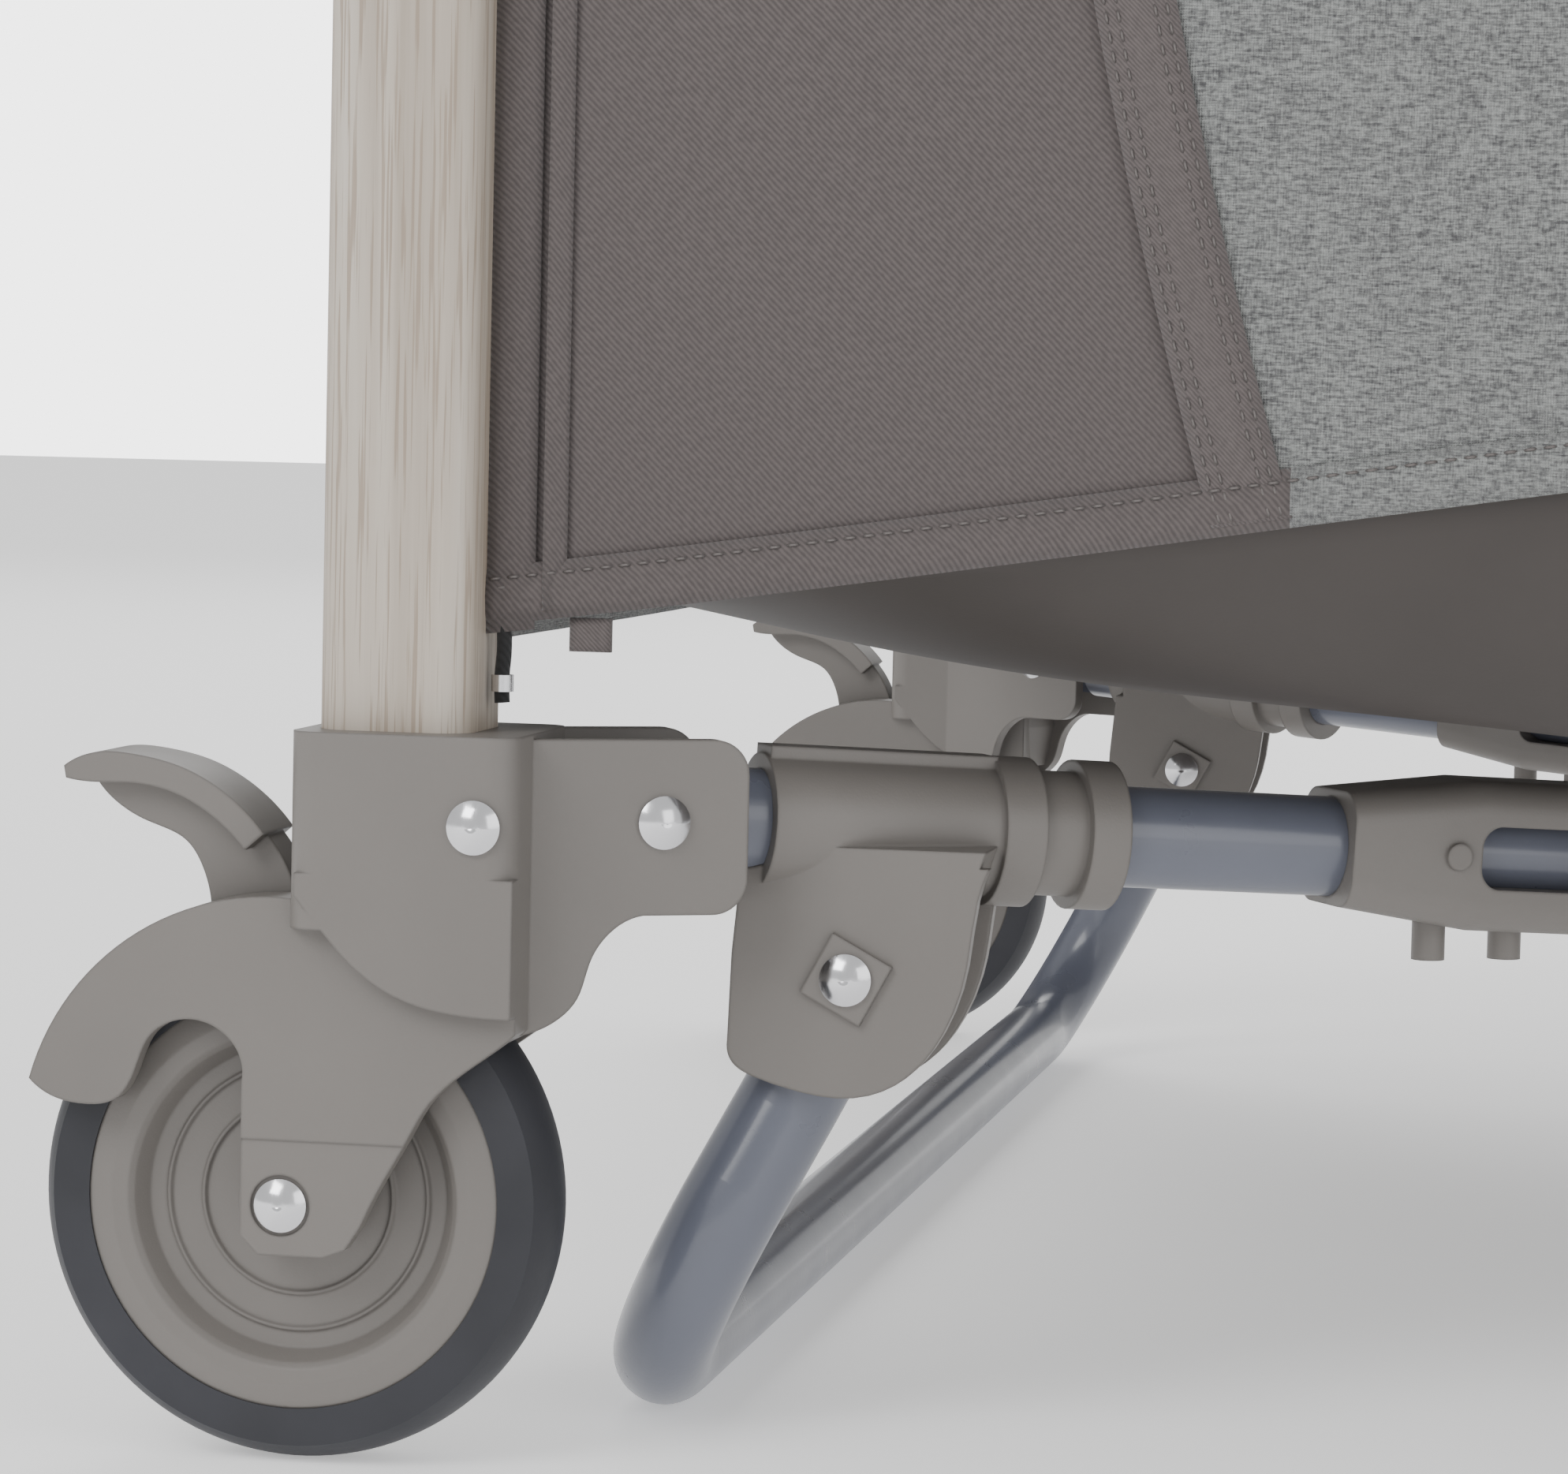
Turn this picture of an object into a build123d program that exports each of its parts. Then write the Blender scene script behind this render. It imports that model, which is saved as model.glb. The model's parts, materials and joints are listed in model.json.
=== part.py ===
"""Folding playpen: wheeled end, footed end, four diagonal base arms, hub, folding top rails.

Millimetres, +Z up, origin on the floor at the middle of the overall box. The wheeled end is at -X.
Each corner piece is modelled once, at the near left corner, and mirrored to the others.
"""
import os
from math import asin, atan2, cos, degrees, hypot, sin

from build123d import *

os.makedirs("parts", exist_ok=True)

# ---------------------------------------------------------------- driving dimensions
POST_PITCH_X = 1200.0          # post centre to post centre along the long side
POST_PITCH_Y = 643.2           # and along the short side
TOP_Z = 760.0                  # overall height
POST_SIZE, POST_ROUND = 28.0, 6.0
TUBE_R, TUBE_WALL = 9.5, 1.5   # base arms, legs and top rails
INNER_TUBE_R = 8.0             # inner tube of an arm, from coupler to hub
RUN_CLEARANCE = 0.06           # radial running clearance of every hinge pin

WHEEL_R, TYRE_WIDTH, RIM_R = 48.0, 18.4, 37.9
WHEEL_OUTBOARD = 18.0          # axle from the post centre, away from the hub
FORK_HALF, FORK_GAP_HALF = 17.0, 13.0
BAY_R = 50.6                   # wheel bay inside the fender
AXLE_R = 4.0

SOCKET_HALF_Y, SOCKET_OUT, SOCKET_IN = 21.0, 16.8, 24.5
SOCKET_FLOOR_Z, SOCKET_LOW_Z, SOCKET_TOP_Z = 108.0, 98.0, 133.0
CLEVIS_D, CLEVIS_Z = 42.4, 117.2   # base hinge: distance from the post centre along the arm
EAR_END_D, EAR_INNER, EAR_OUTER = 58.3, 14.6, 18.1
BALL_R, CLEVIS_PIN_R, EYE_HALF = 6.5, 2.5, 3.0

HUB_PIN_Z, HUB_ARM_Z = 76.0, 86.5
HUB_R, HUB_TOP_Z, HUB_GAP = 58.0, 112.0, 0.6
HUB_ARM_STOP = 24.0            # the arms end this far from the hub centre

LEG_PIVOT_DX, LEG_PIVOT_Z, LEG_Y = 76.0, 88.0, 282.0
LEG_FOOT_Y, LEG_SPLAY_START = 297.0, 26.0
LEG_FOOT_DX, LEG_BEND_R = 36.0, 34.0
LEG_PIN_R = 3.0

CAP_HALF, CAP_LOW_Z = 23.0, 690.0
RAIL_Z, RAIL_MID_PIN_Z = 735.0, 750.0
RAIL_PIN_R = 3.0
COVER_HALF_Y, COVER_LOW_Z, COVER_TOP_Z = 18.0, 716.0, 754.0
LATCH_LENGTH = 48.0

MAT_LOW_Z, MAT_TOP_Z = 153.0, 168.0
FLOOR_LOW_Z, FLOOR_THICK = 130.8, 2.0
MAT_HALF_Y = 296.0
PANEL_LOW_Z, PANEL_TOP_Z, PANEL_THICK = 152.0, 712.0, 3.0

# ---------------------------------------------------------------- derived places
# the tyres pass the wheeled end's posts further than the caps pass the footed end's
HUB_X = (WHEEL_OUTBOARD + WHEEL_R - CAP_HALF) / 2
POST_X, POST_Y = HUB_X - POST_PITCH_X / 2, -POST_PITCH_Y / 2
AXLE_X = POST_X - WHEEL_OUTBOARD
ARM_PLAN = atan2(POST_PITCH_Y, POST_PITCH_X)
ALONG = Vector(cos(ARM_PLAN), sin(ARM_PLAN), 0)         # from the near left post to the hub
ACROSS = Vector(-sin(ARM_PLAN), cos(ARM_PLAN), 0)       # square to it, towards the inside
CLEVIS = Vector(POST_X, POST_Y, CLEVIS_Z) + ALONG * CLEVIS_D
ARM_AXIS = (Vector(HUB_X, 0, HUB_ARM_Z) - CLEVIS).normalized()
HUB_DROP = CLEVIS_Z - HUB_PIN_Z
RAIL_END_PIN_Z = RAIL_MID_PIN_Z - HUB_DROP              # makes the rails follow the arms exactly
RAIL_PIN_X = CLEVIS.X

MID_Y = Plane.XZ
MID_X = Plane(origin=(HUB_X, 0, 0), x_dir=(0, 1, 0), z_dir=(1, 0, 0))
EAR_PLANE = Plane(origin=(POST_X, POST_Y, 0), x_dir=ALONG, z_dir=ACROSS * -1)
CLEVIS_PLANE = Plane(origin=CLEVIS, x_dir=ARM_AXIS, z_dir=ACROSS * -1)


def front_plane(x, y):
    """Upright plane facing -Y; its sketches use the distance from x and the height above the floor."""
    return Plane(origin=(x, y, 0), x_dir=(1, 0, 0), z_dir=(0, -1, 0))


def arm_plane(distance):
    """Plane square to the arm, at a distance from the post centre; its sketches have +y up."""
    return Plane(origin=CLEVIS + ARM_AXIS * (distance - CLEVIS_D), x_dir=ACROSS, z_dir=ARM_AXIS)


def mirrored(source, plane):
    """The same piece on the other side of a plane."""
    with BuildPart() as copy:
        add(source.part)
        mirror(about=plane, mode=Mode.REPLACE)
    return copy


def joined(*sources):
    """Several pieces as one node of separate solids."""
    with BuildPart() as group:
        for source in sources:
            add(source.part)
    return group


def save(builder, name):
    builder.part.label = name
    export_step(builder.part, f"parts/{name}.step")


def add_rivet(seat, shank_r, length, head_r=4.8, head_h=2.6):
    """Domed rivet: its head on the seat plane, its shank going back from it."""
    rim = 0.8
    dome_h = head_h - rim
    dome_r = (head_r ** 2 + dome_h ** 2) / (2 * dome_h)
    for radius, height in ((shank_r, -length), (head_r, rim)):
        with BuildSketch(seat) as disc:
            Circle(radius)
        extrude(disc.sketch, amount=height)
    with Locations(seat.offset(rim)):
        Sphere(dome_r, arc_size1=degrees(asin((dome_r - dome_h) / dome_r)), arc_size2=90,
               align=(Align.CENTER, Align.CENTER, Align.MIN))


def add_tube(start, end, radius, wall=TUBE_WALL):
    """Straight round tube between two points."""
    run = end - start
    with BuildSketch(Plane(origin=start, z_dir=run)) as ring:
        Circle(radius)
        Circle(radius - wall, mode=Mode.SUBTRACT)
    extrude(ring.sketch, amount=run.length)


def add_plate(plane, points, start, end, mode=Mode.ADD):
    """Polygon plate between two offsets from a plane."""
    with BuildSketch(plane.offset(start)) as outline:
        with BuildLine():
            Polyline(*points, close=True)
        make_face()
    extrude(outline.sketch, amount=end - start, mode=mode)


def add_block(low, high, mode=Mode.ADD):
    """Box between two opposite corners."""
    centre = (Vector(*low) + Vector(*high)) * 0.5
    size = Vector(*high) - Vector(*low)
    with Locations(centre):
        Box(size.X, size.Y, size.Z, mode=mode)


def add_bar_y(x, y, z, radius, half, mode=Mode.ADD):
    """Round bar along Y."""
    with BuildSketch(front_plane(x, y)) as disc:
        with Locations((0, z)):
            Circle(radius)
    extrude(disc.sketch, amount=half, both=True, mode=mode)


# ---------------------------------------------------------------- corner fittings
EAR_LOW, EAR_HIGH, EAR_ROUND = 100.5, 132.0, 6.5
EAR_NECK = [(39, EAR_LOW), (33.5, 98), (29.5, 92.7), (27, 85.6), (23.5, 82), (15, 79), (10, 79)]
WEB_OUTLINE = [(8, 84), (24, 84), (27, 96), (27, 129), (8, 129)]
# the socket's front runs down into the fork along this sweep; distances from the axle
SHOULDER = [(2.8, 104), (7.5, 98.5), (13, 92.5), (21, 87), (31, 84.2), (42.5, 83.5)]


def add_ear(start, end):
    """One ear of the base hinge: straight edges, two rounded corners, a curved neck below."""
    with BuildSketch(EAR_PLANE.offset(start)) as outline:
        with BuildLine():
            Spline(*EAR_NECK)
            Polyline(EAR_NECK[-1], (10, EAR_HIGH), (EAR_END_D, EAR_HIGH), (EAR_END_D, EAR_LOW), EAR_NECK[0])
        make_face()
        fillet(outline.vertices().group_by(Axis.X)[-1], EAR_ROUND)
    extrude(outline.sketch, amount=end - start)


def add_socket_and_ears():
    """Post socket with the two ears that hold the base arm."""
    middle = POST_X + (SOCKET_IN - SOCKET_OUT) / 2
    with BuildSketch(Plane.XY.offset(SOCKET_LOW_Z)) as block:
        with Locations((middle, POST_Y)):
            RectangleRounded(SOCKET_IN + SOCKET_OUT, 2 * SOCKET_HALF_Y, 5)
    extrude(block.sketch, amount=SOCKET_TOP_Z - SOCKET_LOW_Z)
    for side in (1, -1):
        add_ear(side * EAR_INNER, side * EAR_OUTER)
    add_plate(EAR_PLANE, WEB_OUTLINE, -EAR_INNER, EAR_INNER)


def cut_post_and_pins():
    """Post cavity, and the bores of the tie rivet and the clevis pin."""
    with BuildSketch(Plane.XY.offset(SOCKET_FLOOR_Z)) as cavity:
        with Locations((POST_X, POST_Y)):
            RectangleRounded(POST_SIZE, POST_SIZE, POST_ROUND)
    extrude(cavity.sketch, amount=TOP_Z, mode=Mode.SUBTRACT)
    add_bar_y(POST_X + TIE_RIVET_DX, POST_Y, CLEVIS_Z, TIE_RIVET_R, 40, mode=Mode.SUBTRACT)
    with BuildSketch(EAR_PLANE) as bore:
        with Locations((CLEVIS_D, CLEVIS_Z)):
            Circle(CLEVIS_PIN_R)
    extrude(bore.sketch, amount=EAR_OUTER + 1, both=True, mode=Mode.SUBTRACT)


TIE_RIVET_DX, TIE_RIVET_R = 17.4, 2.2
BRAKE_PIVOT_DX, BRAKE_PIVOT_Z, BRAKE_PIN_R = -9.0, 100.0, 1.4
BRAKE_SLOT = (-22.0, 2.0)
AXLE_PLANE = front_plane(AXLE_X, POST_Y)
FENDER_TIP, FENDER_MID, FENDER_END = (-46.9, 68.8), (-30.0, 93.8), (2.8, 102.9)
FORK_RIGHT = [(42.5, 80.5), (40.6, 78.8), (32.7, 72.9), (26.6, 66.9), (23.1, 60.7), (19.6, 54.6), (14.8, 45)]
NOTCH = [(-7.3, 70), (-9.6, 77.4), (-16.9, 80.7), (-24.3, 77.6), (-27.5, 70.3), (-31, 65.6), (-36, 64.6),
         (-43.5, 66.2), FENDER_TIP]
LEG_LOW_Z, LEG_STEP_Z, LEG_STEP = 39.0, 59.8, 0.4
AXLE_RECESS_R, AXLE_RECESS = 5.5, 1.2

with BuildPart() as corner_fitting_near_left:
    with BuildSketch(AXLE_PLANE) as fork:
        with BuildLine():
            ThreePointArc(FENDER_TIP, FENDER_MID, FENDER_END)
            Polyline(FENDER_END, (42.5, FENDER_END[1]), FORK_RIGHT[0])
            Spline(*FORK_RIGHT)
            Polyline(FORK_RIGHT[-1], (12, 40.6), (8, LEG_LOW_Z), (-4, LEG_LOW_Z), (-7.3, 42.3), NOTCH[0])
            Spline(*NOTCH)
        make_face()
    extrude(fork.sketch, amount=FORK_HALF, both=True)
    with BuildSketch(AXLE_PLANE) as shoulder:
        with BuildLine():
            Spline(*SHOULDER)
            Polyline(SHOULDER[-1], (42.5, 108), (2.8, 108), SHOULDER[0])
        make_face()
    extrude(shoulder.sketch, amount=SOCKET_HALF_Y, both=True)
    # the lower part of each fork leg steps back, and the axle rivet sits in a recess
    for side in (1, -1):
        add_plate(AXLE_PLANE, [(-20, LEG_STEP_Z), (30, LEG_STEP_Z), (30, 30), (-20, 30)],
                  side * (FORK_HALF - LEG_STEP), side * (FORK_HALF + 1), mode=Mode.SUBTRACT)
        with BuildSketch(AXLE_PLANE.offset(side * (FORK_HALF - AXLE_RECESS))) as recess:
            with Locations((0, WHEEL_R)):
                Circle(AXLE_RECESS_R)
        extrude(recess.sketch, amount=side * 3, mode=Mode.SUBTRACT)
    add_socket_and_ears()
    add_bar_y(AXLE_X, POST_Y, WHEEL_R, BAY_R, FORK_GAP_HALF, mode=Mode.SUBTRACT)
    add_bar_y(AXLE_X, POST_Y, WHEEL_R, AXLE_R, FORK_HALF + 2, mode=Mode.SUBTRACT)
    add_block((AXLE_X + BRAKE_SLOT[0], POST_Y - 6.3, 88), (AXLE_X + BRAKE_SLOT[1], POST_Y + 6.3, 106),
              mode=Mode.SUBTRACT)
    add_bar_y(AXLE_X + BRAKE_PIVOT_DX, POST_Y, BRAKE_PIVOT_Z, BRAKE_PIN_R, 11, mode=Mode.SUBTRACT)
    cut_post_and_pins()

FOOT_HALF, FOOT_PAD_H = 17.0, 8.0
with BuildPart() as foot_fitting:
    for height, half in ((FOOT_PAD_H, FOOT_HALF), (SOCKET_LOW_Z, SOCKET_HALF_Y)):
        with BuildSketch(Plane.XY.offset(height)):
            with Locations((POST_X, POST_Y)):
                RectangleRounded(2 * half - 2, 2 * half, 6)
    loft()
    add_socket_and_ears()
    cut_post_and_pins()

with BuildPart() as foot_pad:
    with BuildSketch():
        with Locations((POST_X, POST_Y)):
            RectangleRounded(2 * FOOT_HALF, 2 * FOOT_HALF + 2, 7)
    extrude(amount=FOOT_PAD_H)
    chamfer(foot_pad.faces().sort_by(Axis.Z)[0].edges(), 1.2)

with BuildPart() as post:
    with BuildSketch(Plane.XY.offset(SOCKET_FLOOR_Z)):
        with Locations((POST_X, POST_Y)):
            RectangleRounded(POST_SIZE, POST_SIZE, POST_ROUND)
    extrude(amount=TOP_Z - 6 - SOCKET_FLOOR_Z)

with BuildPart() as tie_and_clevis_rivets:
    tie_seat = Plane(origin=(POST_X + TIE_RIVET_DX, POST_Y - SOCKET_HALF_Y, CLEVIS_Z), x_dir=(1, 0, 0),
                     z_dir=(0, -1, 0))
    add_rivet(tie_seat, TIE_RIVET_R, 1.7 * SOCKET_HALF_Y)
    for side in (1, -1):
        clevis_seat = Plane(origin=CLEVIS - ACROSS * (side * EAR_OUTER), x_dir=ALONG, z_dir=ACROSS * -side)
        add_rivet(clevis_seat, CLEVIS_PIN_R, EAR_OUTER)
    with Locations(CLEVIS_PLANE):
        Sphere(BALL_R)

with BuildPart() as axle_rivet:
    for side in (1, -1):
        axle_seat = Plane(origin=(AXLE_X, POST_Y - side * (FORK_HALF - AXLE_RECESS), WHEEL_R), x_dir=(1, 0, 0),
                          z_dir=(0, -side, 0))
        add_rivet(axle_seat, AXLE_R, FORK_HALF - AXLE_RECESS)
    add_bar_y(AXLE_X + BRAKE_PIVOT_DX, POST_Y, BRAKE_PIVOT_Z, BRAKE_PIN_R, 11)

# ---------------------------------------------------------------- wheel and brake
WHEEL_PLANE = Plane(origin=(AXLE_X, POST_Y, WHEEL_R), x_dir=(1, 0, 0), z_dir=(0, 0, 1))
WHEEL_AXIS = Axis((AXLE_X, POST_Y, WHEEL_R), (0, 1, 0))
HUB_FACE = [(AXLE_R + RUN_CLEARANCE, 11.5), (9.2, 11.5), (10.4, 4.8), (17.1, 4.4), (17.4, 5.1), (17.9, 5.1),
            (18.2, 4.4), (23.6, 4.4), (23.9, 5.1), (24.4, 5.1), (24.7, 4.4), (27.6, 4.9), (29.6, 8.4),
            (30.6, 9.3), (33.5, 9.7), (RIM_R, 8.8)]
with BuildPart() as wheel_hub:
    with BuildSketch(WHEEL_PLANE):
        with BuildLine():
            Polyline(*HUB_FACE, *[(r, -y) for r, y in reversed(HUB_FACE)], close=True)
        make_face()
    revolve(axis=WHEEL_AXIS)

SHOULDER_R = 44.6
with BuildPart() as tyre:
    with BuildSketch(WHEEL_PLANE):
        with BuildLine():
            half_width = TYRE_WIDTH / 2
            Polyline((SHOULDER_R, -half_width), (RIM_R, -half_width), (RIM_R, half_width),
                     (SHOULDER_R, half_width))
            ThreePointArc((SHOULDER_R, half_width), (WHEEL_R, 0), (SHOULDER_R, -half_width))
        make_face()
    revolve(axis=WHEEL_AXIS)

LEVER_TOP = [(-40, 124.4), (-30, 125.4), (-22, 123.8), (-15.7, 120.7), (-7.9, 114.4), (-3.4, 108.2),
             (-1.2, 102.6)]
LEVER_SHOE = [(-1.2, 102.6), (-6.4, 98.6), (-11.6, 96.6), (-14, 95.2), (-16.4, 96.8), (-17, 99.9)]
LEVER_UNDER = [(-17, 99.9), (-18.6, 106.5), (-22, 111.6), (-29.3, 114.8), (-36, 118.8), (-40, 124.4)]
BLADE_TOP = [(-43.6, 124.6), (-37, 127.3), (-30, 127.0), (-22, 125.2), (-15.4, 122.0), (-6.2, 113.6)]
BLADE_UNDER = [(-9.6, 110.6), (-16.5, 117.0), (-23, 120.4), (-31, 121.9), (-37, 121.8), (-43.2, 122.4)]
LEVER_STEM_HALF, LEVER_HEAD_HALF = 5.0, 9.5
with BuildPart() as brake_lever:
    with BuildSketch(AXLE_PLANE) as stem:
        with BuildLine():
            Spline(*LEVER_TOP)
            Polyline(*LEVER_SHOE)
            Spline(*LEVER_UNDER)
        make_face()
    extrude(stem.sketch, amount=LEVER_STEM_HALF, both=True)
    # the wide blade that the foot presses follows the top of the stem
    with BuildSketch(AXLE_PLANE) as blade:
        with BuildLine():
            Spline(*BLADE_TOP)
            Polyline(BLADE_TOP[-1], BLADE_UNDER[0])
            Spline(*BLADE_UNDER)
            Polyline(BLADE_UNDER[-1], BLADE_TOP[0])
        make_face()
    extrude(blade.sketch, amount=LEVER_HEAD_HALF, both=True)
    add_bar_y(AXLE_X + BRAKE_PIVOT_DX, POST_Y, BRAKE_PIVOT_Z, BRAKE_PIN_R + RUN_CLEARANCE, 11,
              mode=Mode.SUBTRACT)

# ---------------------------------------------------------------- base arm
ARM_START_D, OUTER_END_D, INNER_START_D = 54.5, 206.0, 196.0
INNER_END_D = hypot(POST_PITCH_X, POST_PITCH_Y) / 2 - HUB_ARM_STOP
with BuildPart() as arm:
    # ball eye that turns on the clevis pin, then a plug that carries the tube
    with BuildSketch(CLEVIS_PLANE) as eye:
        Circle(TUBE_R)
        with Locations((8, 0)):
            Rectangle(16, 2 * TUBE_R - 2)
    extrude(eye.sketch, amount=EYE_HALF, both=True)
    with Locations(CLEVIS_PLANE):
        Sphere(BALL_R + RUN_CLEARANCE, mode=Mode.SUBTRACT)
    with BuildSketch(arm_plane(ARM_START_D)) as plug:
        Circle(TUBE_R)
    extrude(plug.sketch, amount=4)
    add_tube(arm_plane(ARM_START_D + 4).origin, arm_plane(OUTER_END_D).origin, TUBE_R)
    add_tube(arm_plane(INNER_START_D).origin, arm_plane(INNER_END_D).origin, INNER_TUBE_R, wall=2.0)

SLEEVE_STATIONS = [(65.5, 109.5, 12.5), (109.5, 117.5, 14.0), (117.5, 126.5, 11.7), (126.5, 134.0, 14.0)]
LEG_PIVOT_X = POST_X + LEG_PIVOT_DX
POCKET_INNER, POCKET_OUTER = 10.3, 13.9
POCKET_TOP = [(25.6, 21), (-20, 21), (-21.5, 4), (-22, -12)]
POCKET_ROUND = [(-22, -12), (-20.6, -16.6), (-16, -19), (-9.6, -20.8), (1.6, -21.8), (10, -18.7), (15.7, -13),
                (19.4, -6.3), (21.9, 2.2), (23, 10.6), (25.6, 21)]
BOSS_SIZE, BOSS_TURN = 12.5, 28.0
with BuildPart() as sleeve:
    for start, end, radius in SLEEVE_STATIONS:
        with BuildSketch(arm_plane(start)) as station:
            Circle(radius)
        extrude(station.sketch, amount=end - start)
    with BuildSketch(arm_plane(66)) as strip:
        with Locations((0, 12.5)):
            Rectangle(9, 3)
    extrude(strip.sketch, amount=44)
    pocket_plane = Plane(origin=(LEG_PIVOT_X, -LEG_Y, LEG_PIVOT_Z), x_dir=(1, 0, 0), z_dir=(0, -1, 0))
    for side in (1, -1):
        with BuildSketch(pocket_plane.offset(side * POCKET_INNER)) as cheek:
            with BuildLine():
                Polyline(*POCKET_TOP)
                Spline(*POCKET_ROUND)
            make_face()
        extrude(cheek.sketch, amount=side * (POCKET_OUTER - POCKET_INNER))
        with BuildSketch(pocket_plane.offset(side * POCKET_OUTER)) as boss:
            Rectangle(BOSS_SIZE, BOSS_SIZE, rotation=-BOSS_TURN)
        extrude(boss.sketch, amount=side * 1.2)
    add_plate(pocket_plane, [(-20, 21), (-22, -9), (-18.8, -9), (-17.2, 21)], -POCKET_INNER, POCKET_INNER)
    add_plate(pocket_plane, [(-18, 24), (-18, 15.4), (22, 15.4), (25, 24)], -POCKET_OUTER, POCKET_OUTER)
    with BuildSketch(arm_plane(60)) as bore:
        Circle(TUBE_R)
    extrude(bore.sketch, amount=90, mode=Mode.SUBTRACT)
    add_bar_y(LEG_PIVOT_X, -LEG_Y, LEG_PIVOT_Z, LEG_PIN_R, 20, mode=Mode.SUBTRACT)

with BuildPart() as leg_rivet:
    for side in (1, -1):
        leg_seat = Plane(origin=(LEG_PIVOT_X, -LEG_Y - side * (POCKET_OUTER + 1.2), LEG_PIVOT_Z),
                         x_dir=(1, 0, 0), z_dir=(0, -side, 0))
        add_rivet(leg_seat, LEG_PIN_R, POCKET_OUTER + 1.2)

COUPLER_START_D, COUPLER_FULL_D, COUPLER_END_D = 179.5, 206.0, 250.0
with BuildPart() as coupler:
    for station, height in ((COUPLER_START_D, 22.0), (COUPLER_FULL_D, 28.8), (COUPLER_END_D, 28.8)):
        with BuildSketch(arm_plane(station)):
            RectangleRounded(25, height, 6)
    loft(ruled=True)
    with BuildSketch(CLEVIS_PLANE) as window:
        with Locations((221 - CLEVIS_D, 0)):
            RectangleRounded(30, 12, 4)
    extrude(window.sketch, amount=20, both=True, mode=Mode.SUBTRACT)
    with BuildSketch(arm_plane(COUPLER_START_D - 1)) as outer_bore:
        Circle(TUBE_R)
    extrude(outer_bore.sketch, amount=OUTER_END_D - COUPLER_START_D + 1, mode=Mode.SUBTRACT)
    with BuildSketch(arm_plane(OUTER_END_D)) as inner_bore:
        Circle(INNER_TUBE_R)
    extrude(inner_bore.sketch, amount=60, mode=Mode.SUBTRACT)
    # flush pin ends on both faces, and the two studs underneath
    for side in (1, -1):
        with BuildSketch(CLEVIS_PLANE.offset(side * 12.5)) as pin_end:
            with Locations((201 - CLEVIS_D, 0)):
                Circle(2.6)
        extrude(pin_end.sketch, amount=side * 1.0)
    stud_plane = Plane(origin=arm_plane(209).origin - Vector(0, 0, 13), x_dir=ALONG, z_dir=(0, 0, -1))
    with BuildSketch(stud_plane) as studs:
        with Locations((-8, 0), (8, 0)):
            Circle(3.2)
    extrude(studs.sketch, amount=7.5)

# ---------------------------------------------------------------- hub
KNUCKLE_R, KNUCKLE_HALF, HUB_PIN_R, HUB_PIN_HALF = 7.0, 5.0, 3.0, 41.0
LOCK_FACE_Z = HUB_PIN_Z + 9.0


def build_hub(knuckles, pin_r):
    """Left half of the hub: faces meet above the pin, and are cut back below it for the fold."""
    with BuildPart() as hub:
        with BuildSketch(Plane.XY.offset(HUB_PIN_Z - 4)) as disc:
            with Locations((HUB_X, 0)):
                Circle(HUB_R)
        extrude(disc.sketch, amount=HUB_TOP_Z - HUB_PIN_Z + 4)
        fillet(hub.edges().filter_by(GeomType.CIRCLE).group_by(Axis.Z)[-1], 6)
        add_block((HUB_X - HUB_GAP / 2, -80, 50), (HUB_X + 80, 80, 130), mode=Mode.SUBTRACT)
        add_plate(front_plane(HUB_X, 0), [(1, LOCK_FACE_Z), (-10, LOCK_FACE_Z), (-12, 60), (1, 60)], -80, 80,
                  mode=Mode.SUBTRACT)
        for y in knuckles:
            add_bar_y(HUB_X, y, HUB_PIN_Z, KNUCKLE_R, KNUCKLE_HALF)
            add_block((HUB_X - 14, y - KNUCKLE_HALF, HUB_PIN_Z),
                      (HUB_X - 3, y + KNUCKLE_HALF, LOCK_FACE_Z + 2))
        add_bar_y(HUB_X, 0, HUB_PIN_Z, pin_r, 60, mode=Mode.SUBTRACT)
        for sign in (1, -1):
            axis = Vector(ARM_AXIS.X, sign * ARM_AXIS.Y, ARM_AXIS.Z)
            start = Vector(HUB_X, 0, HUB_ARM_Z) - axis * 100
            with BuildSketch(Plane(origin=start, z_dir=axis)) as arm_bore:
                Circle(INNER_TUBE_R)
            extrude(arm_bore.sketch, amount=100 - HUB_ARM_STOP, mode=Mode.SUBTRACT)
    return hub


hub_left = build_hub((-33, -11, 11, 33), HUB_PIN_R)
hub_right_master = build_hub((-22, 0, 22), HUB_PIN_R + RUN_CLEARANCE)

with BuildPart() as hub_pin:
    add_bar_y(HUB_X, 0, HUB_PIN_Z, HUB_PIN_R, HUB_PIN_HALF)

STRAP_X, STRAP_TOP_Z = HUB_X - 3.2, 174.0
with BuildPart() as lift_strap:
    # webbing loop, standing up between the two mat halves
    add_block((STRAP_X - 1, -13, HUB_TOP_Z), (STRAP_X + 1, 13, STRAP_TOP_Z))

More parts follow.
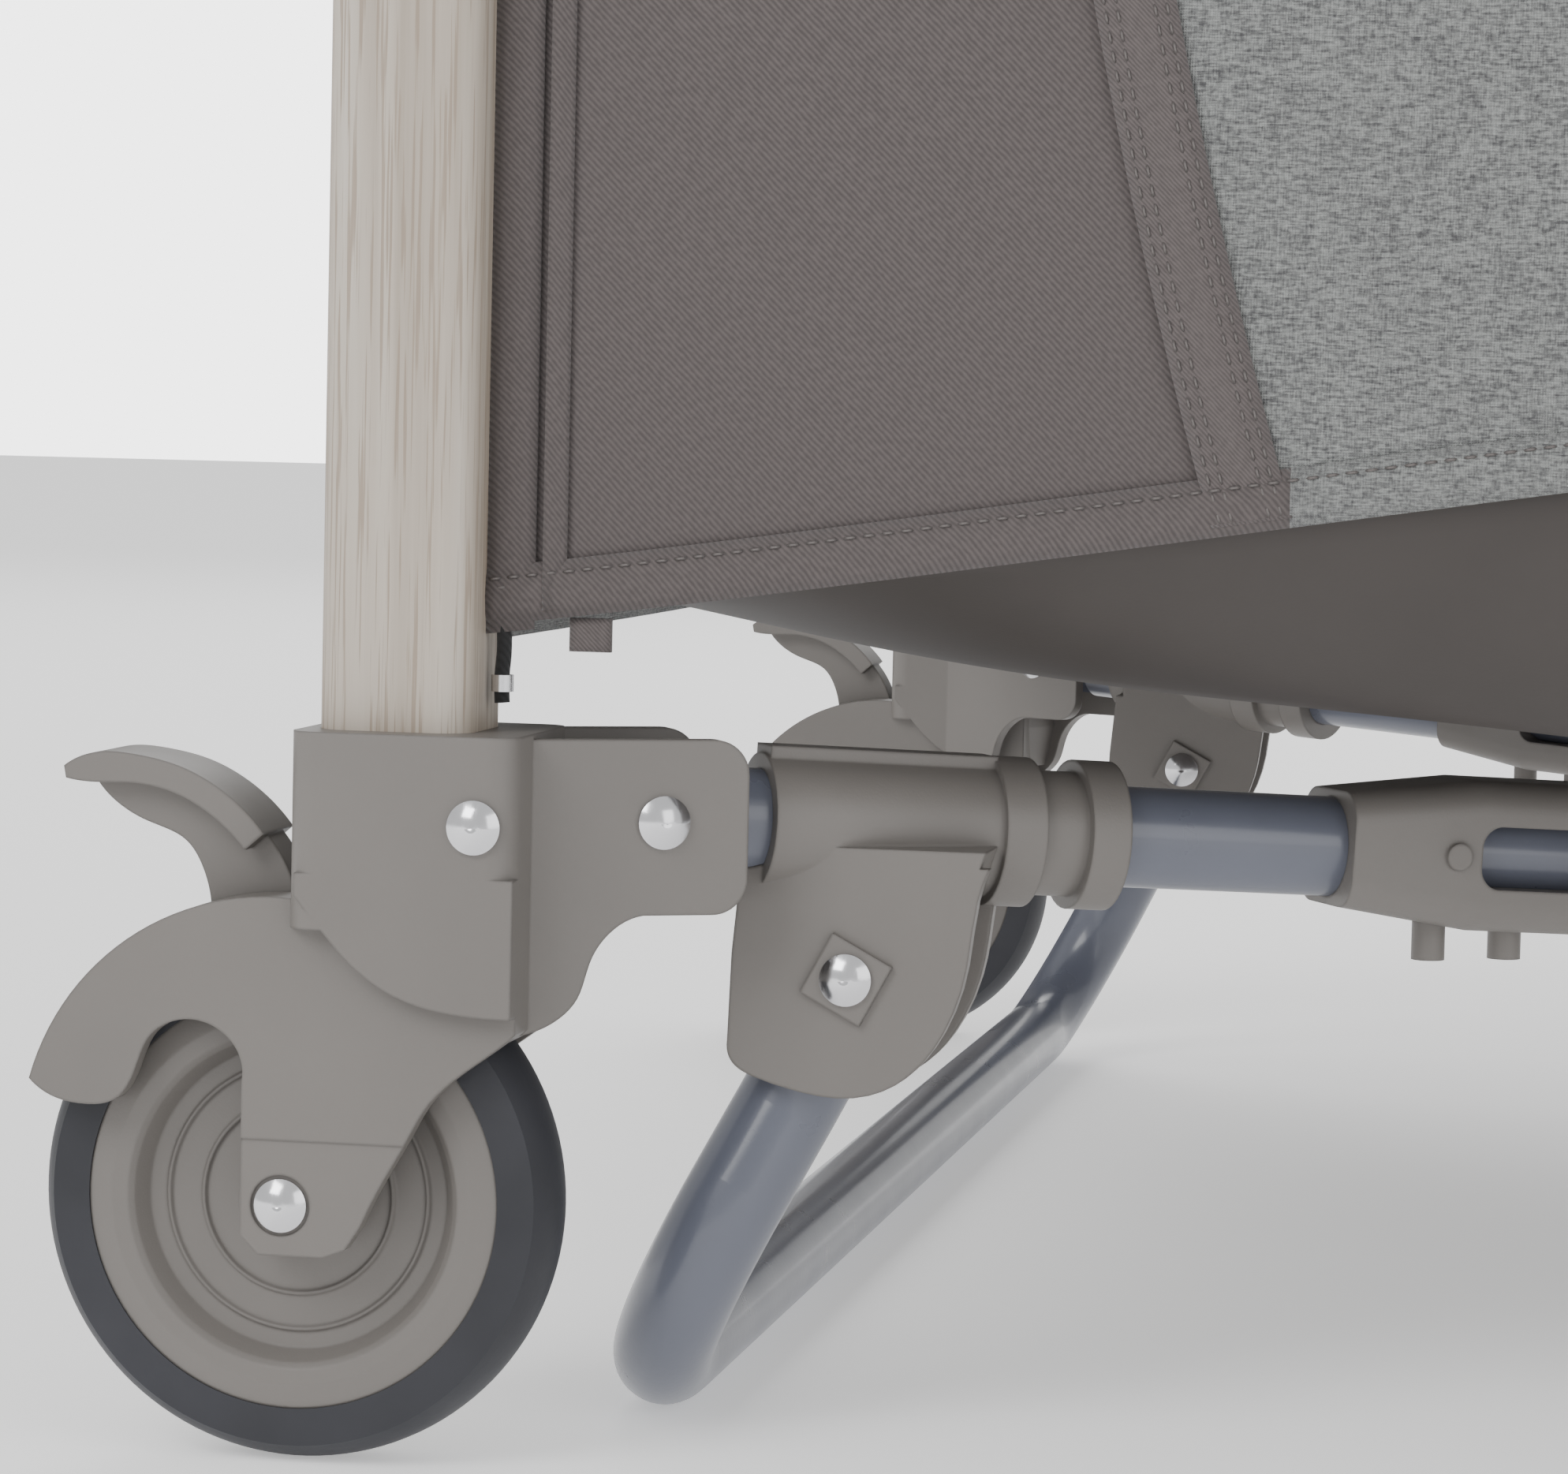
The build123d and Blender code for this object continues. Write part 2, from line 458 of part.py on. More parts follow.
# ---------------------------------------------------------------- swinging leg
LEG_RUN = Vector(LEG_FOOT_DX - LEG_PIVOT_DX, 0, TUBE_R - LEG_PIVOT_Z)
LEG_REACH = LEG_RUN.length
with BuildPart() as u_leg:
    leg_plane = Plane(origin=(LEG_PIVOT_X, 0, LEG_PIVOT_Z), x_dir=(0, 1, 0),
                      z_dir=Vector(0, 1, 0).cross(LEG_RUN))
    with BuildLine(leg_plane) as leg_path:
        FilletPolyline((-LEG_Y, -9), (-LEG_Y, LEG_SPLAY_START), (-LEG_FOOT_Y, LEG_REACH),
                       (LEG_FOOT_Y, LEG_REACH), (LEG_Y, LEG_SPLAY_START), (LEG_Y, -9), radius=LEG_BEND_R)
    start_plane = Plane(origin=leg_path.line @ 0, z_dir=leg_path.line % 0)
    with BuildSketch(start_plane) as leg_section:
        Circle(TUBE_R)
        Circle(TUBE_R - TUBE_WALL, mode=Mode.SUBTRACT)
    sweep(leg_section.sketch, path=leg_path.line)
    for y in (-LEG_Y, LEG_Y):
        add_bar_y(LEG_PIVOT_X, y, LEG_PIVOT_Z, LEG_PIN_R + RUN_CLEARANCE, 20, mode=Mode.SUBTRACT)

# ---------------------------------------------------------------- top corner cap and rails
CHEEK_INNER, CHEEK_OUTER, CHEEK_END_DX = 12.5, 17.0, 52.0
with BuildPart() as corner_cap:
    with BuildSketch(Plane.XY.offset(CAP_LOW_Z)) as cap_block:
        with Locations((POST_X, POST_Y)):
            RectangleRounded(2 * CAP_HALF, 2 * CAP_HALF, 9)
    extrude(cap_block.sketch, amount=TOP_Z - CAP_LOW_Z)
    fillet(corner_cap.faces().sort_by(Axis.Z)[-1].edges(), 5)
    for side in (1, -1):
        add_plate(front_plane(POST_X, POST_Y),
                  [(20, 694), (46, 694), (CHEEK_END_DX, 702), (CHEEK_END_DX, 750), (46, 756), (20, 756)],
                  side * CHEEK_INNER, side * CHEEK_OUTER)
    with BuildSketch(Plane.XZ.offset(-(POST_Y + 20))) as boss:
        with Locations((POST_X, RAIL_Z)):
            RectangleRounded(30, 34, 8)
    extrude(boss.sketch, amount=-28)
    with BuildSketch(Plane.XY.offset(CAP_LOW_Z - 1)) as cavity:
        with Locations((POST_X, POST_Y)):
            RectangleRounded(POST_SIZE, POST_SIZE, POST_ROUND)
    extrude(cavity.sketch, amount=TOP_Z - 5 - CAP_LOW_Z, mode=Mode.SUBTRACT)
    with BuildSketch(Plane.XZ.offset(-(POST_Y + 20))) as bore:
        with Locations((POST_X, RAIL_Z)):
            Circle(TUBE_R)
    extrude(bore.sketch, amount=-40, mode=Mode.SUBTRACT)
    add_bar_y(RAIL_PIN_X, POST_Y, RAIL_END_PIN_Z, RAIL_PIN_R, 30, mode=Mode.SUBTRACT)

with BuildPart() as rail_pin:
    for side in (1, -1):
        pin_seat = Plane(origin=(RAIL_PIN_X, POST_Y - side * CHEEK_OUTER, RAIL_END_PIN_Z), x_dir=(1, 0, 0),
                         z_dir=(0, -side, 0))
        add_rivet(pin_seat, RAIL_PIN_R, CHEEK_OUTER)

RAIL_START_DX, RAIL_STOP = 56.0, 20.0


def build_rail(pin_clearance):
    """Steel half rail with the lug that turns on its corner pin."""
    with BuildPart() as rail:
        add_tube(Vector(POST_X + RAIL_START_DX, POST_Y, RAIL_Z), Vector(HUB_X - RAIL_STOP, POST_Y, RAIL_Z), TUBE_R)
        with BuildSketch(front_plane(POST_X, POST_Y)) as lug:
            with Locations((RAIL_PIN_X - POST_X, RAIL_END_PIN_Z), (RAIL_START_DX + 4, RAIL_Z)):
                Circle(9)
            make_hull()
        extrude(lug.sketch, amount=6, both=True)
        add_bar_y(RAIL_PIN_X, POST_Y, RAIL_END_PIN_Z, RAIL_PIN_R + pin_clearance, 20, mode=Mode.SUBTRACT)
    return rail


OPEN_PIVOT_CLEARANCE = 0.4
rail = build_rail(RUN_CLEARANCE)
rail_open_end = build_rail(OPEN_PIVOT_CLEARANCE)

COVER_START_DX = 71.0
with BuildPart() as rail_cover:
    with BuildSketch(Plane.YZ.offset(POST_X + COVER_START_DX)) as pad:
        with Locations((POST_Y, (COVER_LOW_Z + COVER_TOP_Z) / 2)):
            RectangleRounded(2 * COVER_HALF_Y, COVER_TOP_Z - COVER_LOW_Z, 13)
        with Locations((POST_Y, RAIL_Z)):
            Circle(TUBE_R, mode=Mode.SUBTRACT)
    extrude(pad.sketch, amount=HUB_X - LATCH_LENGTH - 2 - POST_X - COVER_START_DX)

LATCH_HALF_Y, LATCH_LOW_Z, LATCH_TOP_Z = 17.0, 717.0, 753.0
LATCH_KNUCKLE_R, LATCH_KNUCKLE_HALF = 6.6, 3.2
MEET_Z = RAIL_MID_PIN_Z - 8.5
BUTTON_X, BUTTON_HALF, BUTTON_TRAVEL = HUB_X - 27.0, 11.0, 3.0


def build_latch(knuckles, pin_r):
    """Half of the mid-rail latch housing: faces meet below the pin, knuckles stand at the pin."""
    with BuildPart() as latch:
        with BuildSketch(front_plane(HUB_X, POST_Y)) as body:
            with BuildLine():
                Polyline((-HUB_GAP / 2, LATCH_LOW_Z + 3), (-3, LATCH_LOW_Z), (-LATCH_LENGTH + 6, LATCH_LOW_Z),
                         (-LATCH_LENGTH, LATCH_LOW_Z + 6), (-LATCH_LENGTH, LATCH_TOP_Z - 6),
                         (-LATCH_LENGTH + 6, LATCH_TOP_Z), (-20, LATCH_TOP_Z), (-9, MEET_Z + 4), (-9, MEET_Z),
                         (-HUB_GAP / 2, MEET_Z), close=True)
            make_face()
        extrude(body.sketch, amount=LATCH_HALF_Y, both=True)
        for y in knuckles:
            add_bar_y(HUB_X, POST_Y + y, RAIL_MID_PIN_Z, LATCH_KNUCKLE_R, LATCH_KNUCKLE_HALF)
            add_plate(front_plane(HUB_X, POST_Y + y), [(0, RAIL_MID_PIN_Z - 6.6), (-10, MEET_Z), (-12, 748),
                      (0, RAIL_MID_PIN_Z)], -LATCH_KNUCKLE_HALF, LATCH_KNUCKLE_HALF)
        add_bar_y(HUB_X, POST_Y, RAIL_MID_PIN_Z, pin_r, 30, mode=Mode.SUBTRACT)
        add_block((HUB_X - 60, POST_Y - TUBE_R, RAIL_Z - TUBE_R), (HUB_X - RAIL_STOP, POST_Y + TUBE_R,
                  RAIL_Z + TUBE_R), mode=Mode.SUBTRACT)
    return latch


with BuildPart() as latch_button:
    add_block((BUTTON_X - BUTTON_HALF, POST_Y - LATCH_HALF_Y - 2, RAIL_Z - 6),
              (BUTTON_X + BUTTON_HALF, POST_Y - 13.0, RAIL_Z + 6))
    fillet(latch_button.edges().filter_by(Axis.Y), 3)

latch_left = build_latch((-13.2, 0, 13.2), RAIL_PIN_R)
latch_right_master = build_latch((-6.6, 6.6), RAIL_PIN_R + RUN_CLEARANCE)
with BuildPart() as latch_left_cut:
    add(latch_left.part)
    add_block((BUTTON_X - BUTTON_HALF - 0.4, POST_Y - LATCH_HALF_Y - 2, RAIL_Z - 6.4),
              (BUTTON_X + BUTTON_HALF + 0.4, POST_Y - TUBE_R, RAIL_Z + 6.4), mode=Mode.SUBTRACT)
with BuildPart() as latch_pin:
    add_bar_y(HUB_X, POST_Y, RAIL_MID_PIN_Z, RAIL_PIN_R, LATCH_HALF_Y - 0.5)

with BuildPart() as end_rail:
    add_tube(Vector(POST_X, POST_Y + 20, RAIL_Z), Vector(POST_X, -POST_Y - 20, RAIL_Z), TUBE_R)
with BuildPart() as end_rail_cover:
    with BuildSketch(Plane.XZ.offset(-(POST_Y + 50))) as pad:
        with Locations((POST_X, (COVER_LOW_Z + COVER_TOP_Z) / 2)):
            RectangleRounded(2 * COVER_HALF_Y, COVER_TOP_Z - COVER_LOW_Z, 13)
        with Locations((POST_X, RAIL_Z)):
            Circle(TUBE_R, mode=Mode.SUBTRACT)
    extrude(pad.sketch, amount=-(POST_PITCH_Y - 100))

# ---------------------------------------------------------------- soft goods, as plain solids
MAT_START_X = CLEVIS.X + 50.0
with BuildPart() as mat_left:
    add_block((MAT_START_X, -MAT_HALF_Y, MAT_LOW_Z), (HUB_X - 5, MAT_HALF_Y, MAT_TOP_Z))
with BuildPart() as floor_left:
    add_block((MAT_START_X - 37, -MAT_HALF_Y, FLOOR_LOW_Z), (HUB_X - 5, MAT_HALF_Y, FLOOR_LOW_Z + FLOOR_THICK))

PANEL_INSET = POST_SIZE / 2 + 0.5
with BuildPart() as side_panel:
    add_block((POST_X + PANEL_INSET, POST_Y - PANEL_THICK / 2, PANEL_LOW_Z),
              (2 * HUB_X - POST_X - PANEL_INSET, POST_Y + PANEL_THICK / 2, PANEL_TOP_Z))
    for end_x in (POST_X + 20, 2 * HUB_X - POST_X - 20):
        add_block((end_x - 34, POST_Y - 5, CAP_LOW_Z - 3), (end_x + 34, POST_Y + 5, PANEL_TOP_Z + 1),
                  mode=Mode.SUBTRACT)
with BuildPart() as end_panel:
    add_block((POST_X - PANEL_THICK / 2, POST_Y + PANEL_INSET, PANEL_LOW_Z),
              (POST_X + PANEL_THICK / 2, -POST_Y - PANEL_INSET, PANEL_TOP_Z))
    for end_y in (POST_Y + 20, -POST_Y - 20):
        add_block((POST_X - 5, end_y - 30, CAP_LOW_Z - 3), (POST_X + 5, end_y + 30, PANEL_TOP_Z + 1),
                  mode=Mode.SUBTRACT)

# ---------------------------------------------------------------- place and write every node
corner_pieces = {"post": (post, post), "corner_fitting": (corner_fitting_near_left, foot_fitting),
                 "arm": (arm, arm), "rail_cover": (rail_cover, rail_cover), "rail": (rail, rail_open_end)}
for name, (left_master, right_master) in corner_pieces.items():
    near_right = mirrored(right_master, MID_X)
    save(left_master, f"{name}_near_left")
    save(mirrored(left_master, MID_Y), f"{name}_far_left")
    save(near_right, f"{name}_near_right")
    save(mirrored(near_right, MID_Y), f"{name}_far_right")

for name, master in {"wheel_hub": wheel_hub, "tyre": tyre, "brake_lever": brake_lever,
                     "latch_button": latch_button, "side_panel": side_panel}.items():
    save(master, f"{name}_near")
    save(mirrored(master, MID_Y), f"{name}_far")

latch_near = joined(latch_left_cut, latch_pin)
save(latch_near, "latch_near_left")
save(mirrored(latch_near, MID_Y), "latch_far_left")
latch_near_right = mirrored(latch_right_master, MID_X)
save(latch_near_right, "latch_near_right")
save(mirrored(latch_near_right, MID_Y), "latch_far_right")

pair_pieces = {"sleeves": sleeve, "couplers": coupler, "leg_rivets": leg_rivet, "corner_caps": corner_cap}
for name, master in pair_pieces.items():
    left_pair = joined(master, mirrored(master, MID_Y))
    save(left_pair, f"{name}_left")
    save(mirrored(left_pair, MID_X), f"{name}_right")

left_fasteners = joined(tie_and_clevis_rivets, axle_rivet, rail_pin)
save(joined(left_fasteners, mirrored(left_fasteners, MID_Y)), "corner_rivets_left")
right_fasteners = joined(tie_and_clevis_rivets, rail_pin)
right_pair = joined(right_fasteners, mirrored(right_fasteners, MID_Y))
save(mirrored(right_pair, MID_X), "corner_rivets_right")
pads = joined(foot_pad, mirrored(foot_pad, MID_Y))
save(mirrored(pads, MID_X), "foot_pads")

for name, master in {"u_leg": u_leg, "mat": mat_left, "floor": floor_left, "end_rail": end_rail,
                     "end_rail_cover": end_rail_cover, "end_panel": end_panel}.items():
    save(master, f"{name}_left")
    save(mirrored(master, MID_X), f"{name}_right")

save(joined(hub_left, hub_pin), "hub_left")
save(mirrored(hub_right_master, MID_X), "hub_right")
save(lift_strap, "lift_strap")
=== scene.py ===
"""Looks of the folding playpen: fabric sides, floor, mat, padded rails and every material."""
import json
import math

import bpy
from mathutils import Matrix, Vector


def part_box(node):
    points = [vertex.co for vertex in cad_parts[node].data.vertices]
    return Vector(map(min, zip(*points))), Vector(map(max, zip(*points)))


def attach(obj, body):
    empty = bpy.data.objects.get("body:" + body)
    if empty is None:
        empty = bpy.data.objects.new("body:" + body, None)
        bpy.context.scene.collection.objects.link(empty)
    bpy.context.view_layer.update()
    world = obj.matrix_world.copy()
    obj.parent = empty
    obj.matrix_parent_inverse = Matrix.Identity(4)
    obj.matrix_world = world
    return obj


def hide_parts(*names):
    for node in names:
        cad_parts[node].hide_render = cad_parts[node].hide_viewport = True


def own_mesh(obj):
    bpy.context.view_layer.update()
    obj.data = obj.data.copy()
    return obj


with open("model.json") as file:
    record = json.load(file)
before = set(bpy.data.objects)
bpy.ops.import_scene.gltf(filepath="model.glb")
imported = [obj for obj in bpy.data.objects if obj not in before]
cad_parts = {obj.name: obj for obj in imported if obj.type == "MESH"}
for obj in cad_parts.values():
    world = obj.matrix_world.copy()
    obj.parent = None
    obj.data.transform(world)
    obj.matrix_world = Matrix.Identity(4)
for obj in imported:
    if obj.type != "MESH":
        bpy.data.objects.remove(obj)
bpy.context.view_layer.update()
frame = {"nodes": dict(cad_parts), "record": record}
MM = 0.001

# ---------------------------------------------------------------- places read from the frame


def node_centre(node):
    low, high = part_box(node)
    return (Vector(low) + Vector(high)) / 2


POST = node_centre("post_near_left")           # near left post
POST_RIGHT = node_centre("post_near_right")
AXLE = node_centre("tyre_near")
HALF_POST = 14 * MM
HUB_X = (POST.x + POST_RIGHT.x) / 2
SIDE_Y = abs(POST.y)
PANEL_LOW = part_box("side_panel_near")[0][2]
COVER_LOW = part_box("rail_cover_near_left")[0][2]
FLOOR_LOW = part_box("floor_left")[0][2]
SIDE_START, SIDE_END = POST.x + HALF_POST, POST_RIGHT.x - HALF_POST
HEM_RISE = 65 * MM                              # how far the long hem arches up at its middle
CLOTH = 1.2 * MM                                # cloth thickness


def hem_height(x):
    """Lower edge of a long side: it arches up between the posts."""
    share = (x - POST.x) / (POST_RIGHT.x - POST.x)
    return PANEL_LOW + HEM_RISE * math.sin(math.pi * min(max(share, 0), 1)) ** 1.15


# ---------------------------------------------------------------- camera, floor and lights
CAMERA_FROM_AXLE = Vector((249.5, -867.5, 144.5)) * MM
YAW, PITCH, ROLL = math.radians(10.66), math.radians(-3.82), math.radians(-1.28)
LENS_MM = 114.9


def add_camera():
    forward = Vector((-math.sin(YAW) * math.cos(PITCH), math.cos(YAW) * math.cos(PITCH), math.sin(PITCH)))
    level = Vector((math.cos(YAW), math.sin(YAW), 0))
    down = -level.cross(forward)
    right = level * math.cos(ROLL) + down * math.sin(ROLL)
    down = -level * math.sin(ROLL) + down * math.cos(ROLL)
    data = bpy.data.cameras.new("camera")
    data.lens, data.sensor_width, data.clip_start, data.clip_end = LENS_MM, 36, 0.05, 60
    camera = bpy.data.objects.new("camera", data)
    bpy.context.collection.objects.link(camera)
    turn = Matrix((right, -down, -forward)).transposed().to_4x4()
    camera.matrix_world = Matrix.Translation(AXLE + CAMERA_FROM_AXLE) @ turn
    bpy.context.scene.camera = camera


def add_light(name, place, aim, size, power):
    data = bpy.data.lights.new(name, "AREA")
    data.shape, data.size, data.energy = "SQUARE", size, power
    lamp = bpy.data.objects.new(name, data)
    bpy.context.collection.objects.link(lamp)
    lamp.location = place
    lamp.rotation_euler = (Vector(aim) - Vector(place)).to_track_quat("-Z", "Y").to_euler()


def add_studio():
    world = bpy.data.worlds.new("studio")
    bpy.context.scene.world = world
    world.use_nodes = True
    world.node_tree.nodes["Background"].inputs["Color"].default_value = (1, 1, 1, 1)
    rays = world.node_tree.nodes.new("ShaderNodeLightPath")
    strength = world.node_tree.nodes.new("ShaderNodeMapRange")
    strength.inputs["To Min"].default_value, strength.inputs["To Max"].default_value = 0.8, 4.0
    world.node_tree.links.new(rays.outputs["Is Camera Ray"], strength.inputs["Value"])
    world.node_tree.links.new(strength.outputs["Result"],
                              world.node_tree.nodes["Background"].inputs["Strength"])
    bpy.ops.mesh.primitive_plane_add(size=24)
    floor = bpy.context.object
    floor.name = "studio_floor"
    white = plain("studio_white", (0.97, 0.97, 0.97), 0.8)
    glow = white.node_tree.nodes["Principled BSDF"]
    glow.inputs["Emission Color"].default_value = (1, 1, 1, 1)
    glow.inputs["Emission Strength"].default_value = 0.45
    floor.data.materials.append(white)
    aim = (POST.x, POST.y, 0.12)
    add_light("key", (-1.9, -2.6, 2.2), aim, 1.6, 46)
    add_light("fill", (1.8, -2.4, 1.1), aim, 1.8, 16)
    add_light("rim", (-0.6, 2.9, 2.4), aim, 2.4, 40)


# ---------------------------------------------------------------- material building blocks
def plain(name, colour, roughness, metallic=0.0):
    material = bpy.data.materials.new(name)
    material.use_nodes = True
    shader = material.node_tree.nodes["Principled BSDF"]
    shader.inputs["Base Color"].default_value = (*colour, 1)
    shader.inputs["Roughness"].default_value = roughness
    shader.inputs["Metallic"].default_value = metallic
    return material


class Nodes:
    """Short way to add linked shader nodes to a material."""

    def __init__(self, material):
        self.tree = material.node_tree
        self.shader = self.tree.nodes["Principled BSDF"]
        self.place = self.add("ShaderNodeTexCoord").outputs["Object"]

    def add(self, kind, values=None, **settings):
        node = self.tree.nodes.new(kind)
        for key, value in settings.items():
            setattr(node, key, value)
        for key, value in (values or {}).items():
            if isinstance(value, bpy.types.NodeSocket):
                self.tree.links.new(value, node.inputs[key])
            else:
                node.inputs[key].default_value = value
        return node

    def stretch(self, scale, rotation=(0, 0, 0)):
        turned = self.add("ShaderNodeMapping", {"Vector": self.place, "Scale": scale, "Rotation": rotation})
        return turned.outputs["Vector"]

    def noise(self, scale, vector=None, detail=4.0):
        values = {"Vector": vector or self.place, "Scale": scale, "Detail": detail}
        return self.add("ShaderNodeTexNoise", values).outputs["Fac"]

    def wave(self, scale, direction, vector=None, distortion=0.0):
        values = {"Vector": vector or self.place, "Scale": scale, "Distortion": distortion}
        node = self.add("ShaderNodeTexWave", values, bands_direction=direction)
        return node.outputs["Fac"]

    def ramp(self, factor, stops, interpolation="LINEAR"):
        node = self.add("ShaderNodeValToRGB", {"Fac": factor})
        node.color_ramp.interpolation = interpolation
        while len(node.color_ramp.elements) < len(stops):
            node.color_ramp.elements.new(0.5)
        for element, (position, colour) in zip(node.color_ramp.elements, stops):
            element.position, element.color = position, (*colour, 1)
        return node.outputs["Color"]

    def maths(self, operation, first, second):
        return self.add("ShaderNodeMath", {0: first, 1: second}, operation=operation).outputs[0]

    def blend(self, factor, first, second, kind="MIX"):
        node = self.add("ShaderNodeMix", {"Factor": factor}, data_type="RGBA", blend_type=kind)
        for slot, value in ((6, first), (7, second)):
            if isinstance(value, bpy.types.NodeSocket):
                self.tree.links.new(value, node.inputs[slot])
            else:
                node.inputs[slot].default_value = (*value, 1)
        return node.outputs[2]

    def base(self, colour):
        self.tree.links.new(colour, self.shader.inputs["Base Color"])

    def rough(self, factor, low, high):
        values = {"Value": factor, "To Min": low, "To Max": high}
        spread = self.add("ShaderNodeMapRange", values)
        self.tree.links.new(spread.outputs[0], self.shader.inputs["Roughness"])

    def bump(self, height, strength, distance, normal=None):
        values = {"Height": height, "Strength": strength, "Distance": distance}
        if normal is not None:
            values["Normal"] = normal
        output = self.add("ShaderNodeBump", values).outputs["Normal"]
        self.tree.links.new(output, self.shader.inputs["Normal"])
        return output


def shade(colour, factor):
    return tuple(channel * factor for channel in colour)


def twill(name, colour, pitch=0.9 * MM):
    """Fine diagonal weave with uneven yarns."""
    material = plain(name, colour, 0.9)
    n = Nodes(material)
    lines = n.wave(0.628 / (pitch * 1.41), "DIAGONAL", distortion=1.2)
    yarn = n.noise(900.0)
    cloud = n.noise(9.0)
    tone = n.maths("ADD", n.maths("MULTIPLY", lines, 0.45), n.maths("MULTIPLY", yarn, 0.55))
    weave = n.ramp(tone, [(0.25, shade(colour, 0.66)), (0.75, shade(colour, 1.28))])
    n.base(n.blend(n.maths("MULTIPLY", cloud, 0.35), weave, shade(colour, 0.85)))
    n.bump(tone, 0.5, 0.0004)
    n.shader.inputs["Sheen Weight"].default_value = 0.25
    n.shader.inputs["Sheen Roughness"].default_value = 0.5
    return material


def lining(name, colour):
    """Smooth tightly woven lining with a soft satin sheen."""
    material = plain(name, colour, 0.62)
    n = Nodes(material)
    n.base(n.ramp(n.noise(16.0), [(0.3, shade(colour, 0.88)), (0.7, shade(colour, 1.12))]))
    n.bump(n.noise(1400.0), 0.12, 0.0002)
    return material


def melange(name, light, dark):
    """Coarse flecked weave: short light and dark slubs along both yarn directions."""
    material = plain(name, light, 0.92)
    n = Nodes(material)
    along = n.noise(1.0, n.stretch((560, 560, 2500)), 3.0)
    upright = n.noise(1.0, n.stretch((2500, 2500, 700)), 3.0)
    weave = n.maths("MULTIPLY", n.wave(700.0, "X"), n.wave(700.0, "Z"))
    fleck = n.maths("ADD", n.maths("MULTIPLY", along, 0.6), n.maths("MULTIPLY", upright, 0.4))
    middle = tuple((a + b) / 2 for a, b in zip(light, dark))
    n.base(n.ramp(fleck, [(0.34, dark), (0.46, middle), (0.55, light), (0.68, shade(light, 1.35))]))
    n.bump(n.maths("ADD", weave, fleck), 0.6, 0.0005)
    n.shader.inputs["Sheen Weight"].default_value = 0.2
    return material


def wood(name):
    """Pale greyed oak print: fine upright streaks and a few darker pores."""
    material = plain(name, (0.62, 0.58, 0.51), 0.45)
    n = Nodes(material)
    grain = n.noise(1.0, n.stretch((260, 260, 5)), 6.0)
    streak = n.noise(1.0, n.stretch((70, 70, 1.6)), 4.0)
    pores = n.noise(1.0, n.stretch((1500, 1500, 26)), 3.0)
    tone = n.maths("ADD", n.maths("MULTIPLY", grain, 0.55), n.maths("MULTIPLY", streak, 0.45))
    body = n.ramp(tone, [(0.3, (0.34, 0.28, 0.22)), (0.5, (0.50, 0.44, 0.37)), (0.7, (0.62, 0.57, 0.50))])
    n.base(n.blend(n.ramp(pores, [(0.40, (0.7, 0.7, 0.7)), (0.47, (0, 0, 0))]), body, (0.30, 0.23, 0.17)))
    n.rough(grain, 0.4, 0.58)
    n.bump(pores, 0.1, 0.0001)
    return material


def moulded(name, colour, roughness=0.42):
    """Injection-moulded plastic: softened edges, spark-eroded texture, slight sheen change."""
    material = plain(name, colour, roughness)
    n = Nodes(material)
    grit = n.noise(2200.0, detail=2.0)
    cloud = n.noise(14.0)
    n.base(n.ramp(cloud, [(0.3, shade(colour, 0.93)), (0.7, shade(colour, 1.06))]))
    n.rough(n.noise(40.0), roughness - 0.05, roughness + 0.12)
    edge = n.add("ShaderNodeBevel", {"Radius": 0.0009}, samples=4).outputs["Normal"]
    n.bump(grit, 0.16, 0.0002, edge)
    return material


def coated(name, colour, roughness=0.28):
    """Powder-coated steel: glossy, with faint orange peel."""
    material = plain(name, colour, roughness)
    n = Nodes(material)
    n.base(n.ramp(n.noise(30.0), [(0.3, shade(colour, 0.94)), (0.7, shade(colour, 1.07))]))
    n.bump(n.noise(700.0, detail=2.0), 0.12, 0.0002)
    n.rough(n.noise(60.0), roughness - 0.05, roughness + 0.08)
    n.shader.inputs["Coat Weight"].default_value = 0.4
    n.shader.inputs["Coat Roughness"].default_value = 0.15
    return material


def polished(name):
    """Polished steel with fine scratches."""
    material = plain(name, (0.72, 0.72, 0.74), 0.16, 1.0)
    n = Nodes(material)
    n.rough(n.noise(1.0, n.stretch((2600, 300, 300))), 0.08, 0.28)
    n.bump(n.noise(500.0), 0.05, 0.0001)
    return material


def rubber(name):
    material = plain(name, (0.022, 0.023, 0.03), 0.55)
    n = Nodes(material)
    n.rough(n.noise(50.0), 0.42, 0.7)
    n.base(n.ramp(n.noise(24.0), [(0.3, (0.016, 0.017, 0.022)), (0.75, (0.034, 0.035, 0.043))]))
    n.bump(n.noise(900.0), 0.2, 0.0002)
    return material


def netting(name):
    """Fine dark netting, seen through."""
    material = plain(name, (0.20, 0.19, 0.19), 0.8)
    n = Nodes(material)
    n.base(n.ramp(n.wave(190.0, "DIAGONAL"), [(0.3, (0.12, 0.115, 0.115)), (0.7, (0.26, 0.25, 0.245))]))
    n.shader.inputs["Alpha"].default_value = 0.45
    return material


# ---------------------------------------------------------------- mesh building blocks
def mesh_object(name, points, faces, material):
    mesh = bpy.data.meshes.new(name)
    mesh.from_pydata([tuple(p) for p in points], [], faces)
    mesh.validate()
    piece = bpy.data.objects.new(name, mesh)
    bpy.context.collection.objects.link(piece)
    mesh.materials.append(material)
    mesh.polygons.foreach_set("use_smooth", [True] * len(mesh.polygons))
    return piece


def apply_modifiers(piece):
    depsgraph = bpy.context.evaluated_depsgraph_get()
    mesh = bpy.data.meshes.new_from_object(piece.evaluated_get(depsgraph))
    piece.modifiers.clear()
    piece.data = mesh
    return piece


def thicken(piece, thickness=CLOTH):
    solidify = piece.modifiers.new("thickness", "SOLIDIFY")
    solidify.thickness, solidify.offset = thickness, 0.0
    return apply_modifiers(piece)


